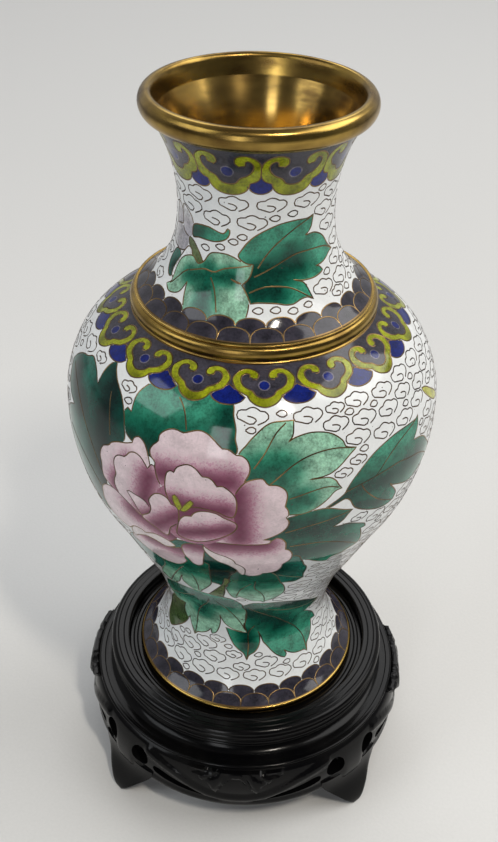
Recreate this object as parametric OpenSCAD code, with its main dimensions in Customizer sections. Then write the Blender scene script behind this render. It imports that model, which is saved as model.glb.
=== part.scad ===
// Cloisonne vase on a carved and turned wooden stand.
// Millimetres, +Z up, origin at the centre of the floor under the stand.

/* [Vase body] */
// Radius of the belly at its widest
belly_r = 56.5; // [53:0.5:58]
// Radius of the stem above the foot
stem_r = 27.5; // [25:0.5:30]
// Radius of the foot's edge, under the brass ring
foot_r = 37.5; // [36:0.5:38]
// Radius of the shoulder where the brass ring sits
shoulder_r = 35.8; // [35:0.1:36.5]
// Height of the shoulder above the vase's base
shoulder_z = 140.2; // [139:0.2:141]

/* [Vase neck] */
// Radius of the neck at its narrowest
neck_r = 22; // [21:0.5:23.5]
// Radius of the neck under the mouth rim
mouth_r = 28.6; // [27.5:0.1:29]
// Overall height of the vase
vase_h = 203.2; // [202:0.2:205]

/* [Metal and enamel] */
// Thickness of the copper shells
copper_t = 1; // [0.8:0.1:1.2]
// Thickness of the fired enamel
enamel_t = 0.7; // [0.5:0.1:0.8]
// Width of a border wire
wire_w = 0.4; // [0.3:0.05:0.6]
// Radius of the mouth rim's outside
rim_r = 32; // [31.5:0.5:33]
// Height of the brass mouth rim
rim_h = 6.7; // [6:0.1:7]
// Radius of the brass foot ring's outside
foot_ring_r = 38.3; // [38.2:0.1:39]
// Thickness of the disc that closes the foot
base_plate_t = 1; // [0.8:0.1:1.2]

/* [Stand] */
// Height of the turned rim's top above the floor
stand_h = 41; // [40:0.5:42]
// Radius of the recess that holds the vase
recess_r = 42.4; // [41:0.1:43]
// Depth of the recess
recess_d = 3.8; // [3:0.1:4.5]
// Radius of the turned rim's outside
stand_rim_r = 48.9; // [48.5:0.1:50]
// Radius of the carved apron at its widest
apron_r = 56; // [55:0.5:57]
// Radius of the circle through the foot tips
foot_tip_r = 59.8; // [58.5:0.1:61]
// Height of a foot, up to the apron
foot_h = 9; // [8:0.5:10]
// Width of a foot where it joins the apron
foot_w = 25; // [20:1:28]
// Diameter of the pierced holes beside the feet
pierced_d = 7.5; // [6:0.5:8]
// Angle between a foot and the hole beside it, in degrees
pierced_angle = 8.5; // [7.5:0.5:12]

/* [Hidden] */
$fn = 96;
eps = 0.01;

brass = [0.72, 0.55, 0.2];
copper = [0.72, 0.4, 0.25];
slate = [0.22, 0.22, 0.26];
white = [0.87, 0.88, 0.88];
turquoise = [0.1, 0.45, 0.55];
lacquer = [0.1, 0.1, 0.1];

// Levels that more than one sub-part uses
seat_z = stand_h - recess_d;
apron_top_z = 29.5;
waist_top_z = 33;
apron_inner_r = 45;
waist_inner_r = 38;
panel_r = recess_r;
panel_under_z = 32.4;

// ---- Smooth profiles ----
steps = 4; // straight steps between two profile points

// Point of a Catmull-Rom curve between p1 and p2
function curve_point(p0, p1, p2, p3, t) =
    0.5 * (2 * p1 + (p2 - p0) * t
        + (2 * p0 - 5 * p1 + 4 * p2 - p3) * t * t
        + (3 * p1 - p0 - 3 * p2 + p3) * t * t * t);

// A smooth path through the given points, with steps pieces between each pair
function smooth(points) =
    let (n = len(points) - 1)
    let (q = concat([2 * points[0] - points[1]], points, [2 * points[n] - points[n - 1]]))
    concat([for (i = [0:n - 1], k = [0:steps - 1])
        curve_point(q[i], q[i + 1], q[i + 2], q[i + 3], k / steps)], [points[n]]);

function mix(a, b, t) = a + (b - a) * t;

// Outward unit normal of a path that climbs the profile
function normal_at(path, i) =
    let (a = path[max(i - 1, 0)], b = path[min(i + 1, len(path) - 1)])
    let (d = (b - a) / norm(b - a))
    [d[1], -d[0]];

// The path moved inward by the distance d
function inset(path, d) = [for (i = [0:len(path) - 1]) path[i] - d * normal_at(path, i)];

function reversed(list) = [for (i = [len(list) - 1:-1:0]) list[i]];

// Outside of the enamel on the body, from foot to shoulder, as [radius, height].
// Each radius is a share of the way from the stem's radius to the belly's.
function body_radius(share) = mix(stem_r, belly_r, share);
body_path = smooth([
    [foot_r, 3], [mix(stem_r, foot_r, 0.65), 6], [mix(stem_r, foot_r, 0.3), 11.5],
    [mix(stem_r, foot_r, 0.07), 19], [stem_r, 24.5], [body_radius(0.05), 33],
    [body_radius(0.19), 45], [body_radius(0.38), 56], [body_radius(0.6), 69],
    [body_radius(0.83), 82.5], [body_radius(0.96), 96], [belly_r, 107.5],
    [body_radius(0.965), 118.5], [body_radius(0.81), 129], [44, 136],
    [shoulder_r, shoulder_z]]);

// Outside of the enamel on the neck, from the shoulder ring to the mouth rim
neck_z = shoulder_z + 5;
neck_top_z = vase_h - rim_h + 0.1;
neck_path = smooth([
    [34.2, neck_z], [30, neck_z + 3.4], [mix(neck_r, 34.2, 0.3), neck_z + 9.2],
    [neck_r + 1, neck_z + 16], [neck_r, neck_z + 24.3], [neck_r + 0.4, neck_z + 33],
    [mix(neck_r, mouth_r, 0.42), neck_z + 43], [mouth_r, neck_top_z]]);

body_copper = inset(body_path, enamel_t);
body_inside = inset(body_path, enamel_t + copper_t);
neck_copper = inset(neck_path, enamel_t);
neck_inside = inset(neck_path, enamel_t + copper_t);

// Places along the paths where one piece ends and the next begins
foot_scale_end = 6;
foot_end = 16;
belly_seam = 44;
shoulder_band = 54;
body_end = len(body_path) - 1;
neck_scale_end = 6;
neck_ruyi_start = 22;
neck_end = len(neck_path) - 1;

// A turned layer between an outer and an inner path, from step a to step b
module layer(outer, inner, a, b) {
    rotate_extrude()
        polygon(concat([for (i = [a:b]) outer[i]], [for (i = [b:-1:a]) inner[i]]));
}

// Points of a path from step a to step b with both ends shortened by a wire's width
function wire_share(path, i, j) = wire_w / norm(path[j] - path[i]);
function trimmed(path, guide, a, b, at_start, at_end) = concat(
    [at_start ? mix(path[a], path[a + 1], wire_share(guide, a, a + 1)) : path[a]],
    [for (i = [a + 1:b - 1]) path[i]],
    [at_end ? mix(path[b], path[b - 1], wire_share(guide, b, b - 1)) : path[b]]);

// An enamel band that leaves room for a border wire at one or both of its ends
module enamel_band(outer, inner, a, b, wire_at_start = false, wire_at_end = false) {
    rotate_extrude()
        polygon(concat(trimmed(outer, outer, a, b, wire_at_start, wire_at_end),
            reversed(trimmed(inner, outer, a, b, wire_at_start, wire_at_end))));
}

// A wire soldered on the copper beside step i, filling the gap toward step j
module border_wire(outer, inner, i, j) {
    share = wire_share(outer, i, j);
    rotate_extrude()
        polygon([outer[i], inner[i], mix(inner[i], inner[j], share), mix(outer[i], outer[j], share)]);
}

module on_stand() {
    translate([0, 0, seat_z]) children();
}

// ---- Vase: metal ----
// Rounded brass band soldered round the mouth
module mouth_rim() {
    flat = 0.9;
    corner = 1.9;
    inner_r = neck_inside[neck_end][0];
    round_edge = [for (a = [-80:20:80])
        [rim_r - corner + corner * cos(a),
            vase_h - rim_h / 2 + (a < 0 ? -flat : flat) + (rim_h / 2 - flat) * sin(a)]];
    color(brass) on_stand() rotate_extrude()
        polygon(concat([neck_inside[neck_end], neck_path[neck_end]], round_edge,
            [[rim_r - corner, vase_h], [inner_r + 0.5, vase_h - 0.5], [inner_r, vase_h - 1.4]]));
}

module neck_shell() {
    color(brass) on_stand() layer(neck_copper, neck_inside, 0, neck_end);
}

// Brass ring that covers the joint of neck and body: a bead above a lower band
module shoulder_ring() {
    bead = 1.5;
    bead_z = neck_z - 1.3;
    band_r = shoulder_r + 0.5;
    color(brass) on_stand() rotate_extrude()
        polygon(concat(
            [body_inside[body_end], body_copper[body_end], body_path[body_end]],
            [[band_r, shoulder_z + 0.3], [band_r, bead_z - bead]],
            [for (a = [-60:20:80]) [shoulder_r - 1.2 + bead * cos(a), bead_z + bead * sin(a)]],
            [neck_path[0], neck_copper[0], neck_inside[0]]));
}

module upper_body_shell() {
    color(copper) on_stand() layer(body_copper, body_inside, belly_seam, body_end);
}

module lower_body_shell() {
    color(copper) on_stand() layer(body_copper, body_inside, foot_end, belly_seam);
}

module foot_shell() {
    color(copper) on_stand() layer(body_copper, body_inside, 0, foot_end);
}

// Brass ring that the vase stands on
module foot_ring() {
    bead = 1.3;
    bead_z = 1.6;
    color(brass) on_stand() rotate_extrude()
        polygon(concat([[foot_r - 2.4, 0], [foot_ring_r - 0.6, 0]],
            [for (a = [-60:20:60]) [foot_ring_r - bead + bead * cos(a), bead_z + bead * sin(a)]],
            [body_path[0], body_copper[0], body_inside[0]]));
}

// Steps of the foot between which the base plate is soldered
plate_step = 8;
function inside_at(z) =
    let (a = body_inside[plate_step], b = body_inside[plate_step + 1])
    mix(a, b, (z - a[1]) / (b[1] - a[1]));
plate_z = body_inside[plate_step][1];

// Copper disc that closes the foot
module base_plate() {
    top = inside_at(plate_z + base_plate_t);
    color(copper) on_stand() rotate_extrude()
        polygon([[0, plate_z], body_inside[plate_step], top, [0, plate_z + base_plate_t]]);
}

// Counter enamel fired on the underside of the base plate
module base_enamel() {
    below = body_inside[plate_step - 1];
    edge = body_inside[plate_step];
    low = mix(edge, below, enamel_t / (edge[1] - below[1]));
    color(turquoise) on_stand() rotate_extrude()
        polygon([[0, low[1]], low, edge, [0, plate_z]]);
}

// ---- Vase: enamel ----
module neck_ruyi_enamel() {
    color(slate) on_stand()
        enamel_band(neck_path, neck_copper, neck_ruyi_start, neck_end, false, true);
}

module neck_cloud_enamel() {
    color(white) on_stand() enamel_band(neck_path, neck_copper, neck_scale_end, neck_ruyi_start);
}

module neck_scale_enamel() {
    color(slate) on_stand() enamel_band(neck_path, neck_copper, 0, neck_scale_end, true, false);
}

module shoulder_ruyi_enamel() {
    color(slate) on_stand()
        enamel_band(body_path, body_copper, shoulder_band, body_end, false, true);
}

module upper_body_enamel() {
    color(white) on_stand() enamel_band(body_path, body_copper, belly_seam, shoulder_band);
}

module lower_body_enamel() {
    color(white) on_stand() enamel_band(body_path, body_copper, foot_end, belly_seam);
}

module foot_cloud_enamel() {
    color(white) on_stand() enamel_band(body_path, body_copper, foot_scale_end, foot_end);
}

module foot_scale_enamel() {
    color(slate) on_stand() enamel_band(body_path, body_copper, 0, foot_scale_end, true, false);
}

// ---- Vase: border wires beside the brass rings ----
module mouth_wire() {
    color(brass) on_stand() border_wire(neck_path, neck_copper, neck_end, neck_end - 1);
}

module neck_base_wire() {
    color(brass) on_stand() border_wire(neck_path, neck_copper, 0, 1);
}

module shoulder_wire() {
    color(brass) on_stand() border_wire(body_path, body_copper, body_end, body_end - 1);
}

module foot_wire() {
    color(brass) on_stand() border_wire(body_path, body_copper, 0, 1);
}

// ---- Stand ----
// Points of an arc in the profile, from angle a to angle b
function arc(centre, rx, rz, a, b, count = 6) =
    [for (i = [0:count]) centre + [rx * cos(mix(a, b, i / count)), rz * sin(mix(a, b, i / count))]];

// Turned rim with a fine groove on top, a rounded edge and a bead below it
module stand_rim() {
    groove_r = recess_r + 4;
    groove = 0.4;
    edge = 2.1;
    edge_z = stand_h - edge;
    bead = 1.2;
    bead_r = stand_rim_r - 0.6;
    color(lacquer) rotate_extrude()
        polygon(concat(
            [[recess_r, waist_top_z], [recess_r, stand_h - 0.7], [recess_r + 0.7, stand_h]],
            [[groove_r - groove, stand_h], [groove_r, stand_h - groove], [groove_r + groove, stand_h]],
            arc([stand_rim_r - edge, edge_z], edge, edge, 80, -40),
            arc([bead_r - bead + 0.5, waist_top_z + bead + 0.3], bead, bead, 60, -80),
            [[bead_r - bead, waist_top_z]]));
}

// Flat panel let into the rim, on which the vase rests
module stand_seat() {
    color(lacquer) translate([0, 0, panel_under_z])
        cylinder(r = panel_r, h = seat_z - panel_under_z);
}

// Hollow moulding between the rim and the apron
module stand_waist() {
    outer_r = stand_rim_r - 2.4;
    cove = waist_top_z - apron_top_z;
    color(lacquer) difference() {
        translate([0, 0, apron_top_z]) rotate_extrude()
            polygon(concat([[waist_inner_r, 0]],
                [[outer_r + cove, 0]],
                arc([outer_r + cove, cove], cove, cove, 265, 185),
                [[waist_inner_r, cove]]));
        translate([0, 0, panel_under_z])
            cylinder(r = panel_r, h = waist_top_z);
    }
}

// Carved ring of the stand: bulged outside, with pierced holes beside each foot
module stand_apron() {
    top_r = apron_r - 2.2;
    hole_z = 20.5;
    feet = 4;
    bulge = smooth([[top_r, apron_top_z], [apron_r - 0.6, apron_top_z - 3.5],
        [apron_r, apron_top_z - 9], [apron_r - 0.8, foot_h + 5.5],
        [apron_r - 2.4, foot_h + 1.5], [apron_r - 4.5, foot_h]]);
    color(lacquer) difference() {
        rotate_extrude()
            polygon(concat(bulge, [[apron_inner_r, foot_h], [apron_inner_r, apron_top_z]]));
        for (i = [0:feet - 1], side = [-1, 1])
            rotate([0, 0, 45 + 90 * i + side * pierced_angle]) translate([0, 0, hole_z])
                rotate([0, 90, 0]) cylinder(d = pierced_d, h = foot_tip_r);
    }
}

// One foot, pointing along +X: it curls outward to a narrow tip on the floor
module stand_foot() {
    heel_r = foot_tip_r - 7;
    sole_w = 5;
    side = [[apron_inner_r + 0.4, foot_h], [apron_r - 4.5, foot_h],
        [foot_tip_r - 7.2, foot_h * 0.75], [foot_tip_r - 5, foot_h * 0.5],
        [foot_tip_r - 2.2, foot_h * 0.27], [foot_tip_r, 0.8], [foot_tip_r - 0.3, 0],
        [heel_r, 0], [heel_r - 3.5, foot_h * 0.35]];
    front = [[-foot_w / 2, foot_h], [-foot_w * 0.36, foot_h * 0.62],
        [-foot_w * 0.2, foot_h * 0.24], [-sole_w / 2, 0],
        [sole_w / 2, 0], [foot_w * 0.2, foot_h * 0.24],
        [foot_w * 0.36, foot_h * 0.62], [foot_w / 2, foot_h]];
    intersection() {
        rotate([90, 0, 0]) translate([0, 0, -foot_w / 2]) linear_extrude(foot_w) polygon(side);
        rotate([90, 0, 90]) linear_extrude(foot_tip_r + eps) polygon(front);
    }
}

module stand_foot_front_left() {
    color(lacquer) rotate([0, 0, 225]) stand_foot();
}

module stand_foot_front_right() {
    color(lacquer) rotate([0, 0, 315]) stand_foot();
}

module stand_foot_back_left() {
    color(lacquer) rotate([0, 0, 135]) stand_foot();
}

module stand_foot_back_right() {
    color(lacquer) rotate([0, 0, 45]) stand_foot();
}

mouth_rim();
neck_shell();
shoulder_ring();
upper_body_shell();
lower_body_shell();
foot_shell();
foot_ring();
base_plate();
base_enamel();
neck_ruyi_enamel();
neck_cloud_enamel();
neck_scale_enamel();
shoulder_ruyi_enamel();
upper_body_enamel();
lower_body_enamel();
foot_cloud_enamel();
foot_scale_enamel();
mouth_wire();
neck_base_wire();
shoulder_wire();
foot_wire();
stand_rim();
stand_seat();
stand_waist();
stand_apron();
stand_foot_front_left();
stand_foot_front_right();
stand_foot_back_left();
stand_foot_back_right();
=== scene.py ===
import math

import bpy
import numpy as np
from mathutils import Matrix, Vector
from mathutils.geometry import delaunay_2d_cdt


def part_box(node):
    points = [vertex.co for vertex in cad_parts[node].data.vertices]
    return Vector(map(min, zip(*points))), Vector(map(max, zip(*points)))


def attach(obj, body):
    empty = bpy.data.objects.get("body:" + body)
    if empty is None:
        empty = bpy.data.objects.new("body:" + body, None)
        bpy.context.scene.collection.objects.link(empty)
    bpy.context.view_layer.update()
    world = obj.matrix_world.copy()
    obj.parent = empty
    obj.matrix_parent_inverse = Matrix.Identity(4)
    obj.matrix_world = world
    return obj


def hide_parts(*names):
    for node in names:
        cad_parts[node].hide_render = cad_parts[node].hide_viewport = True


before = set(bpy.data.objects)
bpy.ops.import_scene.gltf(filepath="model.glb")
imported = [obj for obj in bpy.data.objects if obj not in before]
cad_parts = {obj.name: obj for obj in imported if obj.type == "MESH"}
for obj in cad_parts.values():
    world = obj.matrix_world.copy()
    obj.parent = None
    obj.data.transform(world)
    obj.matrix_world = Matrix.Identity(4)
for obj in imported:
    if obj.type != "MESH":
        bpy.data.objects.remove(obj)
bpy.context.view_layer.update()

# Lengths are in mm and angles in degrees. MM turns a length into metres for a mesh.
MM = 0.001
STAND_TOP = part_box("stand_rim")[1].z / MM
VASE_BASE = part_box("foot_ring")[0].z / MM
VASE_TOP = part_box("mouth_rim")[1].z / MM
BELLY_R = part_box("lower_body_enamel")[1].x / MM
CELL_DEPTH = 0.65
WIRE_WIDTH, WIRE_PROUD, WIRE_DEPTH = 0.38, 0.045, 0.30
TURNS = (-360, 0, 360)  # a place near the seam at the back is also looked for one turn away
rng = np.random.default_rng(7)


# ---------------------------------------------------------------- curves
def smooth_run(points, step):
    """Centripetal Catmull-Rom through an open list of points, one sample about every step."""
    p = np.asarray(points, float)
    if len(p) < 3:
        n = max(int(np.hypot(*(p[1] - p[0])) / step), 1)
        t = np.linspace(0, 1, n + 1)[:, None]
        return p[0] * (1 - t) + p[1] * t
    ends = np.vstack([2 * p[0] - p[1], p, 2 * p[-1] - p[-2]])
    out = [p[:1]]
    for a, b, c, d in zip(ends, ends[1:], ends[2:], ends[3:]):
        k = [math.sqrt(max(math.dist(u, v), 1e-6)) for u, v in ((a, b), (b, c), (c, d))]
        m1 = (b - a) / k[0] - (c - a) / (k[0] + k[1]) + (c - b) / k[1]
        m2 = (c - b) / k[1] - (d - b) / (k[1] + k[2]) + (d - c) / k[2]
        m1, m2 = m1 * k[1], m2 * k[1]
        n = max(int(round(math.dist(b, c) / step)), 1)
        t = (np.arange(1, n + 1) / n)[:, None]
        out.append((2 * t**3 - 3 * t**2 + 1) * b + (t**3 - 2 * t**2 + t) * m1
                   + (3 * t**2 - 2 * t**3) * c + (t**3 - t**2) * m2)
    return np.vstack(out)


def smooth_line(points, step):
    """An open line. A point with a third value is a sharp corner."""
    runs, run = [], [points[0][:2]]
    for q in points[1:]:
        run.append(q[:2])
        if len(q) > 2:
            runs.append(run)
            run = [q[:2]]
    if len(run) > 1:
        runs.append(run)
    parts = [smooth_run(r, step) for r in runs]
    return np.vstack([parts[0]] + [q[1:] for q in parts[1:]])


def smooth_loop(points, step):
    """A closed outline. A point with a third value is a sharp corner."""
    corners = [i for i, q in enumerate(points) if len(q) > 2]
    if corners:
        first = corners[0]
        return smooth_line(points[first:] + points[:first + 1], step)[:-1]
    p = [q[:2] for q in points]
    n = len(p)
    ring = smooth_run(p[-3:] + p + p[:3], step)
    away = np.hypot(*(ring - np.array(p[0])).T)
    start = np.argmin(away)
    away[:start + n] = 1e9
    return ring[start:int(np.argmin(away))]


def inside(points, loop):
    """Which points lie inside a closed loop (even-odd rule)."""
    x, y = points[:, 0], points[:, 1]
    hit = np.zeros(len(points), bool)
    near = ((x >= loop[:, 0].min()) & (x <= loop[:, 0].max())
            & (y >= loop[:, 1].min()) & (y <= loop[:, 1].max()))
    if not near.any():
        return hit
    px, py = x[near], y[near]
    odd = np.zeros(len(px), bool)
    a, b = loop, np.roll(loop, -1, axis=0)
    for (x0, y0), (x1, y1) in zip(a, b):
        if y0 != y1:
            crosses = (y0 > py) != (y1 > py)
            odd ^= crosses & (px < (x1 - x0) * (py - y0) / (y1 - y0) + x0)
    hit[near] = odd
    return hit


# ---------------------------------------------------------------- turned skins
class Skin:
    """A turned surface. A place on it is (degrees round from the front, mm along the profile)."""

    def __init__(self, points, base, chart):
        path = smooth_run(points, 0.25)
        self.r, self.z = path[:, 0], path[:, 1] + base
        self.s = np.concatenate([[0], np.cumsum(np.hypot(np.diff(self.r), np.diff(self.z)))])
        dr, dz = np.gradient(self.r), np.gradient(self.z)
        size = np.hypot(dr, dz)
        self.nr, self.nz = dz / size, -dr / size
        self.end = self.s[-1]
        self.chart = chart  # mm of chart for one degree

    def mm_per_degree(self, s):
        return np.interp(s, self.s, self.r) * math.pi / 180

    def normal(self, angle, s):
        a = np.radians(angle)
        nr, nz = np.interp(s, self.s, self.nr), np.interp(s, self.s, self.nz)
        return np.stack([nr * np.sin(a), -nr * np.cos(a), nz], -1)

    def place(self, angle, s, lift=0.0):
        a = np.radians(angle)
        nr, nz = np.interp(s, self.s, self.nr), np.interp(s, self.s, self.nz)
        r = np.interp(s, self.s, self.r) + nr * lift
        z = np.interp(s, self.s, self.z) + nz * lift
        return np.stack([r * np.sin(a), -r * np.cos(a), z], -1) * MM


BODY = Skin([(37.5, 3), (34.0, 6), (30.5, 11.5), (28.2, 19), (27.5, 24.5), (29, 33),
             (33, 45), (38.5, 56), (44.9, 69), (51.6, 82.5), (55.3, 96), (BELLY_R, 107.5),
             (55.5, 118.5), (51, 129), (44, 136), (35.8, 140.2)], VASE_BASE, 0.8)
NECK = Skin([(34.2, 145.2), (30, 148.6), (25.7, 154.4), (23, 161.2), (22, 169.5),
             (22.4, 178.2), (24.8, 188.2), (28.6, 196.6)], VASE_BASE, 0.45)


# ---------------------------------------------------------------- meshes
def new_object(name, verts, faces):
    mesh = bpy.data.meshes.new(name)
    mesh.from_pydata(verts, [], faces)
    mesh.polygons.foreach_set("use_smooth", [True] * len(mesh.polygons))
    mesh.update()
    obj = bpy.data.objects.new(name, mesh)
    bpy.context.scene.collection.objects.link(obj)
    return obj


def place_piece(obj, body, slot, material, *nodes):
    """Gives a piece its material and body, and hides the CAD nodes it replaces; the slot is not
    used.
    """
    obj.data.materials.append(material)
    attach(obj, body)
    if nodes:
        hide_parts(*nodes)


def arc(cx, cz, rx, rz, a0, a1, n):
    """Points of an elliptic arc in the profile, angles in degrees."""
    a = np.radians(np.linspace(a0, a1, n + 1))
    return [(cx + rx * math.cos(t), cz + rz * math.sin(t)) for t in a]


def turned(name, profile, segments, crease):
    """A closed solid of revolution from a closed profile of (radius, height) in mm."""
    p = np.asarray(profile, float)
    n = len(p)
    t = np.arange(segments) * 2 * math.pi / segments
    on_axis = p[:, 0] < 1e-6
    verts, index = [], []
    for (r, z), axis in zip(p, on_axis):
        index.append(len(verts))
        if axis:
            verts.append((0, 0, z * MM))
        else:
            verts += [(r * math.sin(a) * MM, -r * math.cos(a) * MM, z * MM) for a in t]

    def corner(i, k):
        return index[i] if on_axis[i] else index[i] + k % segments

    faces = []
    for i in range(n):
        j = (i + 1) % n
        for k in range(0 if on_axis[i] and on_axis[j] else segments):
            corners = corner(i, k), corner(i, k + 1), corner(j, k + 1), corner(j, k)
            faces.append(tuple(dict.fromkeys(corners)))
    area = 0.5 * sum(p[i, 0] * p[(i + 1) % n, 1] - p[(i + 1) % n, 0] * p[i, 1] for i in range(n))
    if area < 0:
        faces = [f[::-1] for f in faces]
    obj = new_object(name, verts, faces)
    obj.data.set_sharp_from_angle(angle=math.radians(crease))
    return obj


# ---------------------------------------------------------------- materials
class Nodes:
    """Short ways to add nodes to a tree. An input takes a socket, a number or a colour."""

    def __init__(self, tree):
        self.nodes, self.links = tree.nodes, tree.links

    def put(self, socket, value):
        if isinstance(value, bpy.types.NodeSocket):
            self.links.new(value, socket)
        elif isinstance(value, tuple):
            socket.default_value = (*value, 1)[:len(socket.default_value)]
        else:
            socket.default_value = value

    def add(self, kind, inputs=None, **settings):
        node = self.nodes.new("ShaderNode" + kind)
        for key, value in settings.items():
            setattr(node, key, value)
        for key, value in (inputs or {}).items():
            self.put(node.inputs[key], value)
        return node

    def math(self, kind, *values):
        return self.add("Math", dict(enumerate(values)), operation=kind).outputs[0]

    def mix(self, factor, a, b):
        return self.add("Mix", {0: factor, 6: a, 7: b}, data_type="RGBA").outputs[2]

    def noise(self, vector, scale, detail, rough):
        values = {"Vector": vector, "Scale": scale, "Detail": detail, "Roughness": rough}
        return self.add("TexNoise", values).outputs["Fac"]

    def ramp(self, value, low, high, out_low=0.0, out_high=1.0):
        return self.add("MapRange", {0: value, 1: low, 2: high, 3: out_low, 4: out_high},
                        interpolation_type="SMOOTHSTEP").outputs[0]


class Material(Nodes):
    """A Principled material. Its values are named like the sockets, with _ for a space."""

    def __init__(self, name, **values):
        self.made = bpy.data.materials.new(name)
        self.made.use_nodes = True
        super().__init__(self.made.node_tree)
        self.shader = self.nodes["Principled BSDF"]
        self.set(**values)
        self.here = self.add("TexCoord").outputs["Object"]

    def set(self, **values):
        for key, value in values.items():
            self.put(self.shader.inputs[key.replace("_", " ")], value)

    def bump(self, height, distance, strength):
        values = {"Height": height, "Distance": distance, "Strength": strength}
        self.set(Normal=self.add("Bump", values).outputs[0])

    def round_noise(self, along, around, detail=2, rough=0.5):
        """Noise that changes fast along the profile and slowly round the axis."""
        x, y, z = self.add("SeparateXYZ", {0: self.here}).outputs
        square = self.math("ADD", self.math("MULTIPLY", x, x), self.math("MULTIPLY", y, y))
        place = {0: self.math("MULTIPLY", self.math("SQRT", square), along),
                 1: self.math("MULTIPLY", z, along),
                 2: self.math("MULTIPLY", self.math("ARCTAN2", y, x), around)}
        return self.noise(self.add("CombineXYZ", place).outputs[0], 1, detail, rough)


def enamel_material(name, grain, pits=0.5):
    """Fired glass: the painted colour, mottled like ground enamel powder, with fine pits."""
    m = Material(name, Roughness=0.10, Specular_IOR_Level=0.38)
    paint = m.add("Attribute", attribute_name="paint").outputs
    powder = m.noise(m.here, 1500, 2, 0.7)
    cloudy = m.ramp(m.noise(m.here, 260, 3, 0.6), 0.3, 0.7, 1 - grain, 1 + grain * 0.5)
    mottle = m.math("ADD", cloudy, m.ramp(powder, 0.3, 0.7, -grain * 0.6, grain * 0.6))
    tone = m.add("VectorMath", {0: paint["Color"], 3: mottle}, operation="SCALE").outputs[0]
    dark = m.add("VectorMath", {0: tone, 1: (0.62, 0.35, 0.5)}, operation="MULTIPLY").outputs[0]
    speckle = m.math("MULTIPLY", paint["Alpha"], m.ramp(powder, 0.46, 0.62))
    pit = m.ramp(m.noise(m.here, 900, 1, 0.5), 0.76, 0.8)
    m.set(Base_Color=m.mix(pit, m.mix(speckle, tone, dark), (0.05, 0.04, 0.035)))
    wave = m.math("MULTIPLY", m.noise(m.here, 120, 2, 0.5), 0.6)
    m.bump(m.math("SUBTRACT", wave, pit), 0.00006 * pits, 0.5)
    return m.made


def metal_material(name, bright, dark, rough, lines=1.0, across=0.0, metallic=1.0):
    """Turned metal: fine lines round the axis, with patches of darker tarnish."""
    m = Material(name, Metallic=metallic, Anisotropic=0.65, Anisotropic_Rotation=across)
    m.set(Tangent=m.add("Tangent", direction_type="RADIAL", axis="Z").outputs[0])
    rings, broad = m.round_noise(5200, 1.5), m.round_noise(260, 2.0)
    patches = m.noise(m.here, 38, 4, 0.6)
    stain = m.math("ADD", m.math("MULTIPLY", patches, 0.6), m.math("MULTIPLY", broad, 0.4))
    colour = m.mix(m.ramp(stain, 0.38, 0.62), bright, dark)
    m.set(Base_Color=m.mix(m.ramp(rings, 0.3, 0.7, 0.0, 0.14), colour, dark),
          Roughness=m.ramp(stain, 0.4, 0.8, rough, rough + 0.14))
    m.bump(rings, 0.00003 * lines, 0.3)
    return m.made


def lacquer_material(name):
    """Black lacquer over close-grained wood."""
    m = Material(name, Coat_Weight=0.05, Coat_Roughness=0.08, Specular_IOR_Level=0.12)
    lines = m.round_noise(2200, 3.0)
    patch = m.ramp(m.noise(m.here, 90, 3, 0.6), 0.35, 0.75)
    fine = m.noise(m.here, 900, 2, 0.6)
    m.set(Base_Color=m.mix(patch, (0.0016, 0.0016, 0.0019), (0.0042, 0.0040, 0.0040)),
          Roughness=m.ramp(lines, 0.3, 0.7, 0.15, 0.22))
    height = m.math("ADD", m.math("MULTIPLY", lines, 0.08), m.math("MULTIPLY", fine, 0.3))
    m.bump(height, 0.00004, 0.4)
    return m.made


ENAMEL = enamel_material("painted_enamel", 0.38)
PETAL_ENAMEL = enamel_material("petal_enamel", 0.13)
WHITE_ENAMEL = enamel_material("white_enamel", 0.04, pits=0.6)
BRASS = metal_material("turned_brass", (0.43, 0.285, 0.072), (0.115, 0.068, 0.020), 0.22,
                       lines=0.2)
BORE = metal_material("bored_brass", (0.46, 0.30, 0.085), (0.10, 0.060, 0.020), 0.20, lines=0.1,
                      across=0.25)
WIRE = metal_material("cell_wire", (0.24, 0.155, 0.065), (0.07, 0.045, 0.025), 0.3, lines=0.3)
CLOUD_WIRE = metal_material("dark_wire", (0.11, 0.070, 0.040), (0.035, 0.023, 0.016), 0.4,
                            lines=0.3)
COPPER = metal_material("bare_copper", (0.55, 0.30, 0.17), (0.22, 0.11, 0.06), 0.4)
LACQUER = lacquer_material("black_lacquer")
TURQUOISE = metal_material("counter_enamel", (0.01, 0.17, 0.24), (0.01, 0.11, 0.17), 0.15,
                           lines=0.0, metallic=0.0)


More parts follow.
